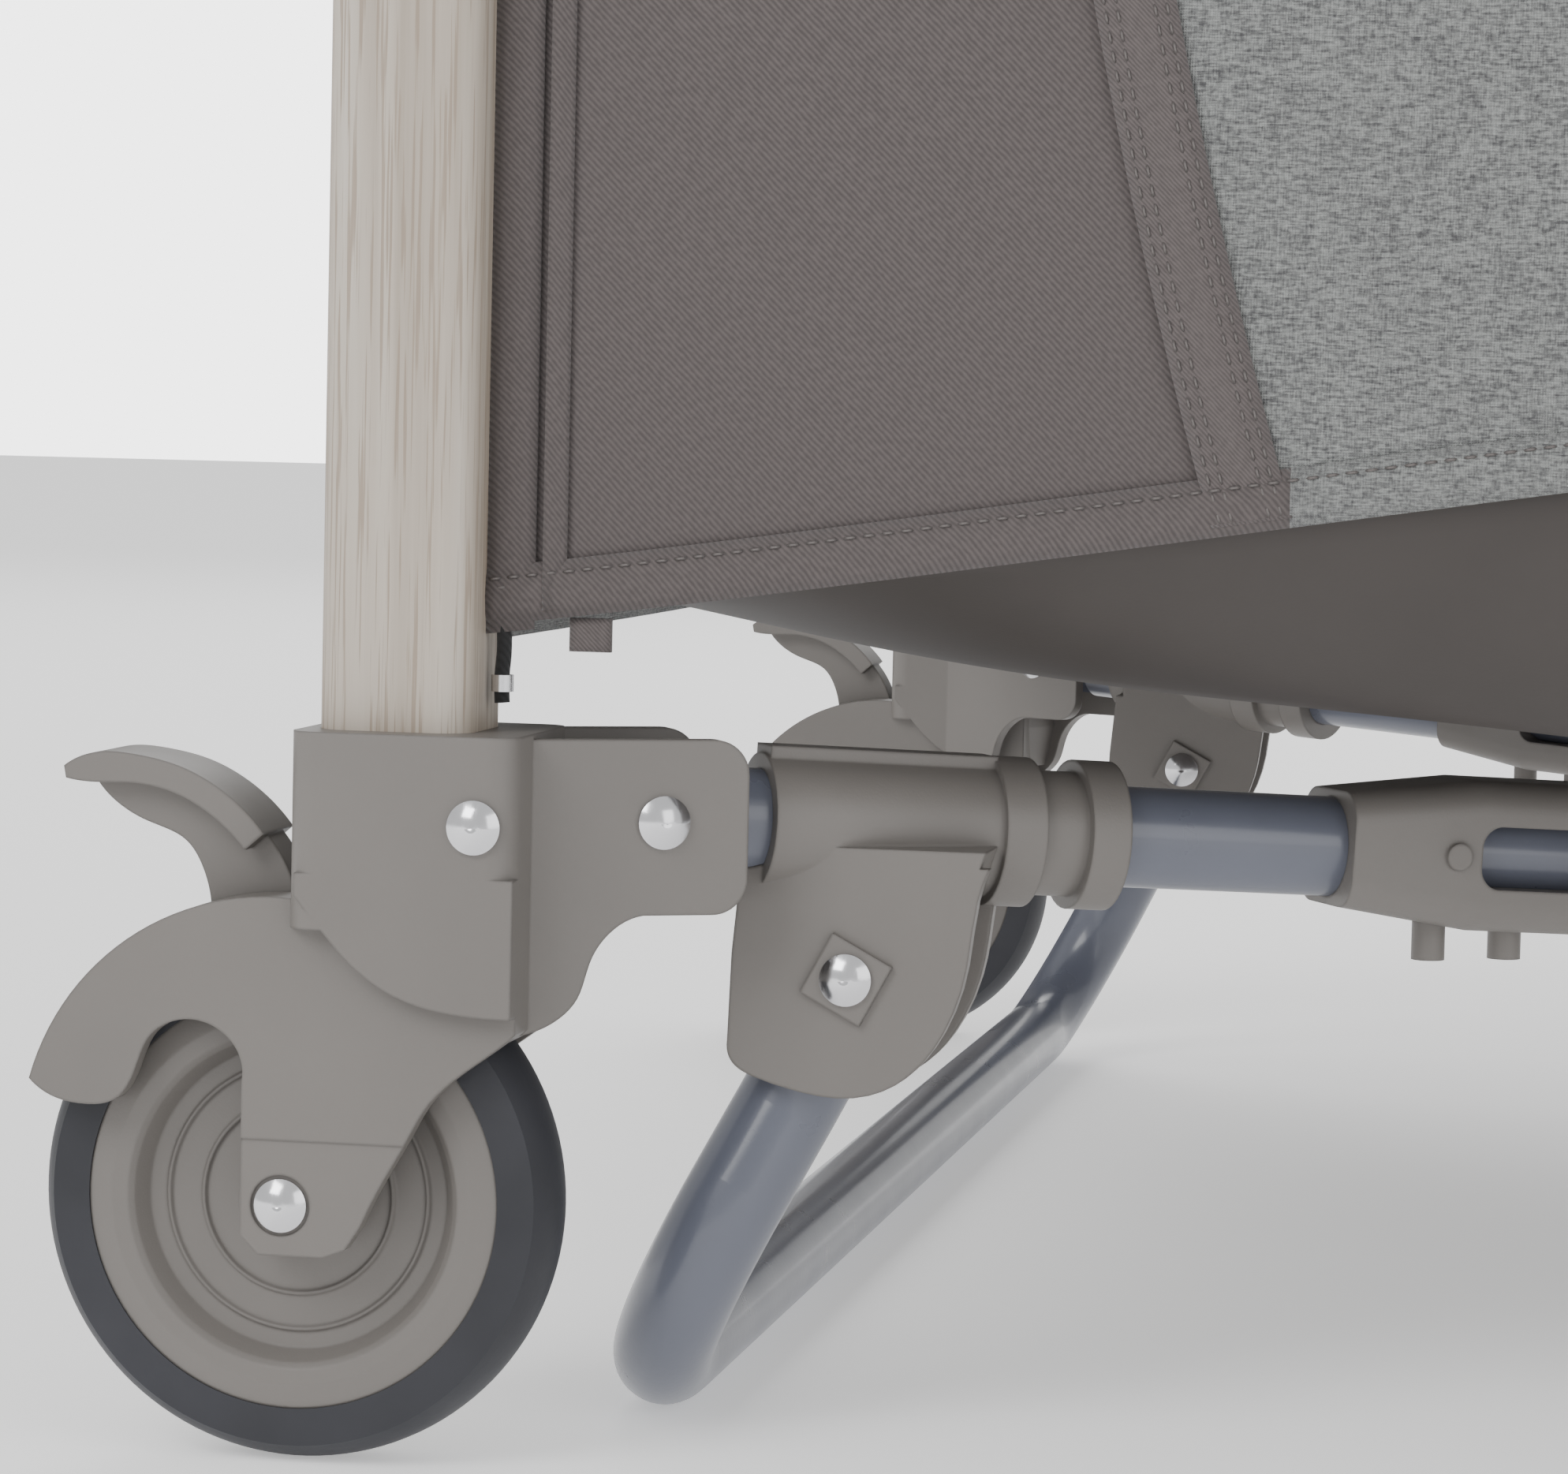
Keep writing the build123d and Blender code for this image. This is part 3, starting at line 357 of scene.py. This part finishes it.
def sheet_grid(name, place, columns, rows, material, thickness=CLOTH):
    """Cloth over a grid: place(u, v) gives the point at shares u and v."""
    points = [place(i / columns, j / rows) for j in range(rows + 1) for i in range(columns + 1)]
    wide = columns + 1
    faces = [(j * wide + i, j * wide + i + 1, (j + 1) * wide + i + 1, (j + 1) * wide + i)
             for j in range(rows) for i in range(columns)]
    return thicken(mesh_object(name, points, faces, material), thickness)


def stitch_row(name, path, outward, material, pitch=3.4 * MM, width=0.55 * MM):
    """Row of single stitches along a path of points, standing on the cloth."""
    lengths = [0.0]
    for before, after in zip(path, path[1:]):
        lengths.append(lengths[-1] + (after - before).length)
    points, faces = [], []
    segment, travelled = 0, pitch * 0.5
    while travelled < lengths[-1] - pitch * 0.5:
        while lengths[segment + 1] < travelled:
            segment += 1
        share = (travelled - lengths[segment]) / (lengths[segment + 1] - lengths[segment])
        middle = path[segment].lerp(path[segment + 1], share)
        run = (path[segment + 1] - path[segment]).normalized()
        side = run.cross(outward).normalized()
        base = len(points)
        for along, across, lift in ((-1, 0, 0.05), (-0.6, 1, 0.3), (-0.6, -1, 0.3), (0, 0, 1.0), (0, 1, 0.3),
                                    (0, -1, 0.3), (0.6, 1, 0.3), (0.6, -1, 0.3), (1, 0, 0.05)):
            points.append(middle + run * (along * pitch * 0.36) + side * (across * width / 2)
                          + outward * (lift * width * 0.8))
        for face in ((0, 1, 3), (0, 3, 2), (1, 4, 3), (2, 3, 5), (4, 6, 3), (5, 3, 7), (6, 8, 3), (7, 3, 8),
                     (0, 2, 1), (1, 2, 5, 4), (4, 5, 7, 6), (6, 7, 8)):
            faces.append(tuple(base + k for k in face))
        travelled += pitch
    return mesh_object(name, points, faces, material)


def loft_rings(name, rings, material):
    """Skin through rings of equal length, closed at both ends."""
    count = len(rings[0])
    points = [p for ring in rings for p in ring]
    faces = []
    for k in range(len(rings) - 1):
        for i in range(count):
            here, after = k * count, (i + 1) % count
            faces.append((here + i, here + after, here + count + after, here + count + i))
    faces.append(tuple(reversed(range(count))))
    faces.append(tuple((len(rings) - 1) * count + i for i in range(count)))
    return mesh_object(name, points, faces, material)


# ---------------------------------------------------------------- materials
TAUPE = (0.098, 0.083, 0.081)
PLASTIC = (0.175, 0.162, 0.150)
M = {
    "wood": wood("oak_effect"),
    "plastic": moulded("grey_plastic", PLASTIC),
    "tube": coated("blue_grey_coat", (0.125, 0.135, 0.172)),
    "dark_tube": coated("dark_coat", (0.03, 0.03, 0.034), 0.35),
    "rivet": polished("polished_steel"),
    "rubber": rubber("black_rubber"),
    "twill": twill("taupe_twill", TAUPE),
    "binding": twill("taupe_binding", shade(TAUPE, 1.12), 0.6 * MM),
    "melange": melange("melange_weave", (0.25, 0.258, 0.252), (0.075, 0.075, 0.078)),
    "underside": lining("underside_cloth", (0.054, 0.046, 0.042)),
    "mat": melange("mat_weave", (0.40, 0.40, 0.395), (0.20, 0.20, 0.2)),
    "thread": plain("taupe_thread", (0.15, 0.135, 0.13), 0.7),
    "webbing": twill("black_webbing", (0.014, 0.014, 0.015), 1.2 * MM),
    "netting": netting("dark_netting"),
}
SLOT_LOOK = {
    "wood_effect": "wood", "moulded_plastic": "plastic", "powder_coated_tube": "tube",
    "dark_tube": "dark_tube", "polished_rivet": "rivet", "rubber_tyre": "rubber",
    "grey_twill": "twill", "melange_fabric": "melange",
    "underside_fabric": "underside", "quilted_mat": "mat", "black_webbing": "webbing",
}
LOOK_SLOT = {look: slot for slot, look in SLOT_LOOK.items()}
LOOK_SLOT.update({"binding": "grey_twill", "thread": "grey_twill", "netting": "grey_twill"})


def dress_cad_nodes():
    for entry in frame["record"]["subparts"]:
        node = frame["nodes"][entry["node"]]
        node.data.materials.clear()
        node.data.materials.append(M[SLOT_LOOK[entry["material_slot"]]])


def settle(piece, body, look):
    """Ride on a body."""
    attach(piece, body)
    return piece


# ---------------------------------------------------------------- long sides
STRIP_LOW_DX, STRIP_HIGH_DX, STRIP_WIDTH = 149.5 * MM, 90 * MM, 14 * MM
WINDOW_LOW, WINDOW_HIGH = 0.395, 0.672
SIDE_TOP = COVER_LOW + 2 * MM
SEAM_DX = 24 * MM


def strip_inset(z):
    """How far the binding strip stands from the post centre at a height; it curves inwards going up."""
    share = min(max((z - PANEL_LOW) / (SIDE_TOP - PANEL_LOW), 0), 1)
    return STRIP_LOW_DX + (STRIP_HIGH_DX - STRIP_LOW_DX) * (1 - (1 - share) ** 3.0)


def ripple(x, z):
    """Small unevenness of a stretched side."""
    return 0.9 * MM * math.sin(23 * x + 3 * z) * math.sin(math.pi * (z - PANEL_LOW) / (SIDE_TOP - PANEL_LOW))


def side_point(sign, x, z, lift=0.0):
    return Vector((x, sign * (SIDE_Y + lift + ripple(x, z)), z))


def squash_side(piece, look):
    settle(piece, "wheel_end", look)
    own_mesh(piece)
    return piece


def mirror_x(x):
    return 2 * HUB_X - x


def make_long_side(label, sign):
    pieces = []
    lift = 0.4 * MM

    def height(x, v):
        low = hem_height(x)
        return low + (SIDE_TOP - low) * v

    for end, flip in (("left", False), ("right", True)):
        def across(u, v):
            """Point of the corner panel between the post and the middle of the binding strip."""
            x = SIDE_START
            for _ in range(3):
                x = SIDE_START + u * (POST.x + strip_inset(height(x, v)) + STRIP_WIDTH / 2 - SIDE_START)
            z = height(x, v)
            return side_point(sign, mirror_x(x) if flip else x, z)

        panel = sheet_grid(f"side_cloth_{label}_{end}", across, 14, 60, M["twill"])
        pieces.append((panel, "twill"))

        def strip(u, v):
            x = POST.x + strip_inset(height(POST.x + STRIP_LOW_DX, v)) + u * STRIP_WIDTH
            z = height(x, v)
            return side_point(sign, mirror_x(x) if flip else x, z, 1.5 * MM)

        pieces.append((sheet_grid(f"side_binding_{label}_{end}", strip, 4, 60, M["binding"], 1.4 * MM),
                       "binding"))
        outward = Vector((0, sign, 0))
        for row, share in enumerate((0.12, 0.27, 0.73, 0.88)):
            line = [strip(share, k / 60) + outward * 0.7 * MM for k in range(61)]
            stitches = stitch_row(f"side_stitch_{label}_{end}_{row}", line, outward, M["thread"])
            pieces.append((stitches, "thread"))
        def facing(u, v):
            """Narrow strip of cloth next to the post, folded over."""
            x = SIDE_START + u * (POST.x + SEAM_DX - 1.2 * MM - SIDE_START)
            z = height(x, v) - 3.2 * MM * (1 - v) ** 8
            lift_off = 1.0 * MM + 0.5 * MM * math.sin(math.pi * u)
            return side_point(sign, mirror_x(x) if flip else x, z, lift_off)

        def folded_edge(u, v):
            """Rolled edge of the corner panel beside the facing."""
            x = POST.x + SEAM_DX + 0.4 * MM + u * 4 * MM
            return side_point(sign, mirror_x(x) if flip else x, height(x, v),
                              1.0 * MM + 1.1 * MM * math.cos(math.pi * u / 2))

        pieces.append((sheet_grid(f"post_facing_{label}_{end}", facing, 4, 50, M["twill"]), "twill"))
        pieces.append((sheet_grid(f"post_fold_{label}_{end}", folded_edge, 5, 50, M["twill"]), "twill"))
        low_row = [facing(k / 8, 0.0) + Vector((0, 0, 8 * MM)) + outward * 0.8 * MM for k in range(1, 8)]
        stitches = stitch_row(f"facing_stitch_{label}_{end}", low_row, outward, M["thread"])
        pieces.append((stitches, "thread"))

    def centre_x(u, v):
        x = HUB_X
        for _ in range(3):
            inset = strip_inset(height(x, v)) + STRIP_WIDTH / 2
            x = POST.x + inset + u * (POST_RIGHT.x - POST.x - 2 * inset)
        return x

    def lower(u, v):
        x = centre_x(u, v * 0.42)
        low = hem_height(x)
        return side_point(sign, x, low + (WINDOW_LOW - low) * v, lift)

    def upper(u, v):
        x = centre_x(u, 0.92)
        return side_point(sign, x, WINDOW_HIGH + (SIDE_TOP - WINDOW_HIGH) * v, lift)

    def window(u, v):
        z = WINDOW_LOW - 8 * MM + (WINDOW_HIGH - WINDOW_LOW + 16 * MM) * v
        x = centre_x(u, (z - PANEL_LOW) / (SIDE_TOP - PANEL_LOW))
        return side_point(sign, x, z, -0.6 * MM)

    main = sheet_grid(f"side_melange_{label}", lower, 120, 24, M["melange"])
    band = sheet_grid(f"side_top_band_{label}", upper, 120, 6, M["twill"])
    net = sheet_grid(f"side_netting_{label}", window, 120, 28, M["netting"], 0.5 * MM)
    pieces += [(main, "melange"), (band, "twill"), (net, "netting")]
    for name, z in (("low", WINDOW_LOW), ("high", WINDOW_HIGH)):
        def rim(u, v):
            return side_point(sign, centre_x(u, 0.5), z + (v - 0.5) * 14 * MM, 1.4 * MM)
        binding = sheet_grid(f"window_binding_{name}_{label}", rim, 120, 2, M["binding"], 1.3 * MM)
        pieces.append((binding, "binding"))
        for row in (0.2, 0.8):
            line = [rim(k / 120, row) + outward * 0.7 * MM for k in range(121)]
            pieces.append((stitch_row(f"window_stitch_{name}_{label}_{int(row * 10)}", line, outward,
                                      M["thread"]), "thread"))

    def hem(u, v):
        """Hem: the lower edge folded over a narrow tape, a touch proud of the side."""
        x = SIDE_START + u * (SIDE_END - SIDE_START)
        z = hem_height(x) - 1.5 * MM + v * 10 * MM
        return side_point(sign, x, z, (0.8 + 1.0 * math.sin(math.pi * v)) * MM)

    corner_share = (POST.x + STRIP_LOW_DX + STRIP_WIDTH / 2 - SIDE_START) / (SIDE_END - SIDE_START)
    for part, start, end_share, look in (("left", 0.0, corner_share, "twill"),
                                         ("middle", corner_share, 1 - corner_share, "melange"),
                                         ("right", 1 - corner_share, 1.0, "twill")):
        def hem_part(u, v):
            return hem(start + (end_share - start) * u, v)
        pieces.append((sheet_grid(f"side_hem_{label}_{part}", hem_part, 80, 4, M[look], 1.6 * MM), look))
    line = [hem(k / 160, 0.8) + outward * 1.0 * MM for k in range(161)]
    pieces.append((stitch_row(f"hem_stitch_{label}", line, outward, M["thread"]), "thread"))
    for piece, look in pieces:
        squash_side(piece, look)
    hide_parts(f"side_panel_{label}")


# ---------------------------------------------------------------- end panels
def make_end_panel(end, sign):
    body = "wheel_end" if end == "left" else "foot_end"
    x = POST.x if end == "left" else POST_RIGHT.x
    reach = SIDE_Y - HALF_POST
    low = PANEL_LOW - 4 * MM
    outward = Vector((-1 if end == "left" else 1, 0, 0))

    def bow(y, z):
        return 1.2 * MM * math.sin(17 * y + 2 * z)

    def point(y, z, lift):
        return Vector((x, y, z)) + outward * (lift + bow(y, z))

    def section(name, z_low, z_high, rows, look, thickness=CLOTH, lift=0.0, inset=0.0):
        def place(u, v):
            return point((2 * u - 1) * (reach - inset), z_low + (z_high - z_low) * v, lift)
        piece = sheet_grid(f"{name}_{end}", place, 70, rows, M[look], thickness)
        return settle(piece, body, look)

    main = section("end_cloth", low, WINDOW_LOW, 24, "melange")
    net = section("end_netting", WINDOW_LOW - 8 * MM, WINDOW_HIGH + 8 * MM, 24, "netting",
                  0.5 * MM, -0.6 * MM)
    band = section("end_top_band", WINDOW_HIGH, SIDE_TOP, 6, "twill")
    section("end_hem", low - 2 * MM, low + 11 * MM, 3, "melange", 2.2 * MM, 0.8 * MM)
    for z, name in ((WINDOW_LOW, "end_binding_low"), (WINDOW_HIGH, "end_binding_high")):
        section(name, z - 7 * MM, z + 7 * MM, 2, "binding", 1.3 * MM, 1.0 * MM)
    for side in (1, -1):
        place_name = "far" if side > 0 else "near"

        def edge(u, v):
            return point(side * (reach - u * 20 * MM), low + (SIDE_TOP - low) * v, 1.2 * MM)
        settle(sheet_grid(f"end_facing_{end}_{place_name}", edge, 4, 50, M["twill"]), body, "twill")
        line = [edge(0.85, k / 50) + outward * 0.7 * MM for k in range(51)]
        settle(stitch_row(f"end_stitch_{end}_{place_name}", line, outward, M["thread"]), body, "thread")
    line = [point((2 * k / 80 - 1) * reach, low + 8 * MM, 2.0 * MM) for k in range(81)]
    settle(stitch_row(f"end_hem_stitch_{end}", line, outward, M["thread"]), body, "thread")
    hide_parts(f"end_panel_{end}")


# ---------------------------------------------------------------- floor cloth and mat
FLOOR_RISE, FLOOR_RUN = 27 * MM, 118 * MM       # the cloth drops from the end hem to the arms


def make_floor(end):
    body = f"{end}_arms"
    low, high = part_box(f"floor_{end}")
    outer_x, inner_x = (low[0], high[0]) if end == "left" else (high[0], low[0])
    post_x = POST.x if end == "left" else POST_RIGHT.x
    outer_x = post_x + math.copysign(8 * MM, inner_x - post_x)
    lip_y = SIDE_Y - 7 * MM
    start_y = 265 * MM

    def place(u, v):
        x = outer_x + (inner_x - outer_x) * u
        away = abs(x - post_x)
        side = 2 * v - 1
        y = side * lip_y
        low_z = FLOOR_LOW + 1.0 * MM + FLOOR_RISE * math.exp(-(away / FLOOR_RUN) ** 1.7)
        over = max(0.0, (abs(y) - start_y) / (lip_y - start_y))
        edge = max(0.0, hem_height(x) + 1 * MM - low_z)
        fold = 1.6 * MM * (math.sin(31 * x + 19 * y) + 0.6 * math.sin(57 * y - 23 * x))
        return Vector((x, y, low_z + edge * over ** 1.5 + fold * (1 - over)))

    cloth = sheet_grid(f"floor_cloth_{end}", place, 110, 120, M["underside"])
    settle(cloth, body, "underside")
    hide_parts(f"floor_{end}")


def make_mat(end):
    """Quilted mat half: two crowned panels with sewn channels, edges pulled in."""
    low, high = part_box(f"mat_{end}")
    columns, rows = 72, 78
    bevel = 9 * MM
    tall = high[2] - low[2]

    def crown(u, v):
        panel = (2 * u) % 1.0
        edge = min(panel, 1 - panel) * (high[0] - low[0]) / 2
        edge = min(edge, min(v, 1 - v) * (high[1] - low[1]))
        swell = 1 - math.exp(-edge / bevel)
        channel = abs(math.sin(6 * math.pi * v)) ** 0.5 * abs(math.sin(6 * math.pi * u)) ** 0.5
        return swell * (0.72 + 0.28 * channel)

    points, faces = [], []
    for layer in (1, -1):
        for j in range(rows + 1):
            for i in range(columns + 1):
                u, v = i / columns, j / rows
                share = crown(u, v)
                z = low[2] + tall * (0.5 + 0.5 * layer * share * (1 if layer > 0 else 0.96))
                points.append((low[0] + (high[0] - low[0]) * u, low[1] + (high[1] - low[1]) * v, z))
    wide, layer_count = columns + 1, (columns + 1) * (rows + 1)
    for j in range(rows):
        for i in range(columns):
            a = j * wide + i
            faces.append((a, a + 1, a + wide + 1, a + wide))
            faces.append(tuple(layer_count + k for k in (a, a + wide, a + wide + 1, a + 1)))
    mat = mesh_object(f"mat_cushion_{end}", points, faces, M["mat"])
    weld = mat.modifiers.new("weld", "WELD")
    weld.merge_threshold = 0.2 * MM
    apply_modifiers(mat)
    settle(mat, f"{end}_arms", "mat")
    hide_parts(f"mat_{end}")


# ---------------------------------------------------------------- padded rail covers
def make_cover(name, node, body, along):
    """Padded sleeve over a rail: soft oval section, puckered ends, a sewn seam underneath."""
    low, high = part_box(node)
    axis = 0 if along == "x" else 1
    other = 1 - axis
    centre_other = (low[other] + high[other]) / 2
    half_wide, half_tall = (high[other] - low[other]) / 2, (high[2] - low[2]) / 2
    centre_z = (low[2] + high[2]) / 2
    steps, around = 90, 40
    rings = []
    for k in range(steps + 1):
        share = k / steps
        station = low[axis] + (high[axis] - low[axis]) * share
        near_end = min(share, 1 - share) * (high[axis] - low[axis])
        pinch = 0.80 + 0.20 * (1 - math.exp(-near_end / 0.008))
        pucker = 0.6 * MM * math.sin(share * (high[axis] - low[axis]) * 260) * math.exp(-near_end / 0.05)
        ring = []
        for i in range(around):
            angle = 2 * math.pi * i / around
            flat = math.copysign(abs(math.cos(angle)) ** 0.75, math.cos(angle))
            upright = math.copysign(abs(math.sin(angle)) ** 0.75, math.sin(angle))
            seam = 1.0 - 0.10 * math.exp(-((angle - 1.5 * math.pi) / 0.12) ** 2)
            across = flat * (half_wide * pinch + pucker)
            lift = upright * (half_tall * pinch + pucker) * seam
            point = [0, 0, centre_z + lift]
            point[axis], point[other] = station, centre_other + across
            ring.append(Vector(point))
        rings.append(ring if axis == 0 else list(reversed(ring)))
    cover = loft_rings(name, rings, M["twill"])
    settle(cover, body, "twill")
    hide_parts(node)
    outward = Vector((0, 0, 0))
    side = -1 if centre_other < 0 else 1
    outward[other] = side
    line = []
    for k in range(81):
        point = [0, 0, centre_z - half_tall * 0.62]
        point[axis] = low[axis] + 6 * MM + (high[axis] - low[axis] - 12 * MM) * k / 80
        point[other] = centre_other + side * (half_wide * 0.845)
        line.append(Vector(point))
    settle(stitch_row(f"{name}_stitch", line, outward, M["thread"]), body, "thread")


# ---------------------------------------------------------------- small pieces
def tube_along(name, path, radius, material, around=10):
    """Round piece through a few points."""
    curve = bpy.data.curves.new(name, "CURVE")
    curve.dimensions = "3D"
    curve.bevel_depth, curve.bevel_resolution, curve.use_fill_caps = radius, around // 2, True
    spline = curve.splines.new("NURBS")
    spline.points.add(len(path) - 1)
    for point, place in zip(spline.points, path):
        point.co = (*place, 1)
    spline.order_u, spline.use_endpoint_u = 3, True
    source = bpy.data.objects.new(name + "_curve", curve)
    bpy.context.collection.objects.link(source)
    mesh = bpy.data.meshes.new_from_object(source.evaluated_get(bpy.context.evaluated_depsgraph_get()))
    bpy.data.objects.remove(source)
    piece = bpy.data.objects.new(name, mesh)
    bpy.context.collection.objects.link(piece)
    mesh.materials.clear()
    mesh.materials.append(material)
    mesh.polygons.foreach_set("use_smooth", [True] * len(mesh.polygons))
    return piece


def make_zip_ends():
    """Braided zip tail with its metal snap, hanging below the hem beside each post of the wheel end."""
    for label, sign in (("near", -1), ("far", 1)):
        x, y = POST.x + HALF_POST + 3.0 * MM, sign * (SIDE_Y + 0.5 * MM)
        top = PANEL_LOW + 2 * MM
        hang = [(x, y, top), (x + 0.5 * MM, y + sign * 0.4 * MM, top - 6 * MM),
                (x - 0.3 * MM, y, top - 12 * MM), (x, y, top - 16 * MM)]
        tail = tube_along(f"zip_tail_{label}", hang, 1.4 * MM, M["webbing"])
        settle(tail, "wheel_end", "webbing")
        snap = tube_along(f"zip_snap_{label}", [(x, y, top - 11 * MM), (x, y, top - 12.5 * MM),
                          (x, y, top - 14 * MM)], 2.0 * MM, M["rivet"], 16)
        settle(snap, "wheel_end", "rivet")

        def tab(u, v):
            return Vector((x + 12 * MM + u * 7.5 * MM, sign * (SIDE_Y - 0.6 * MM),
                           PANEL_LOW - 4.5 * MM + v * 6 * MM))
        settle(sheet_grid(f"hem_tab_{label}", tab, 4, 4, M["binding"], 1.6 * MM), "wheel_end", "binding")


def make_lift_strap():
    low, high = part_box("lift_strap")
    middle_x = (low[0] + high[0]) / 2

    def strap(u, v):
        angle = math.pi * v
        y = (low[1] + high[1]) / 2 + (u - 0.5) * (high[1] - low[1])
        z = low[2] + (high[2] - low[2]) * math.sin(angle)
        return Vector((middle_x + 1.1 * MM * math.cos(angle), y, z))
    piece = sheet_grid("lift_strap_webbing", strap, 8, 40, M["webbing"], 1.0 * MM)
    settle(piece, "left_arms", "webbing")
    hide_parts("lift_strap")


# ---------------------------------------------------------------- make everything
add_camera()
add_studio()
dress_cad_nodes()
for label, sign in (("near", -1), ("far", 1)):
    make_long_side(label, sign)
    make_cover(f"rail_pad_{label}_left", f"rail_cover_{label}_left", f"rail_{label}_a", "x")
    make_cover(f"rail_pad_{label}_right", f"rail_cover_{label}_right", f"rail_{label}_b", "x")
for end in ("left", "right"):
    make_end_panel(end, -1 if end == "left" else 1)
    make_floor(end)
    make_mat(end)
    end_body = "wheel_end" if end == "left" else "foot_end"
    make_cover(f"end_pad_{end}", f"end_rail_cover_{end}", end_body, "y")
make_zip_ends()
make_lift_strap()
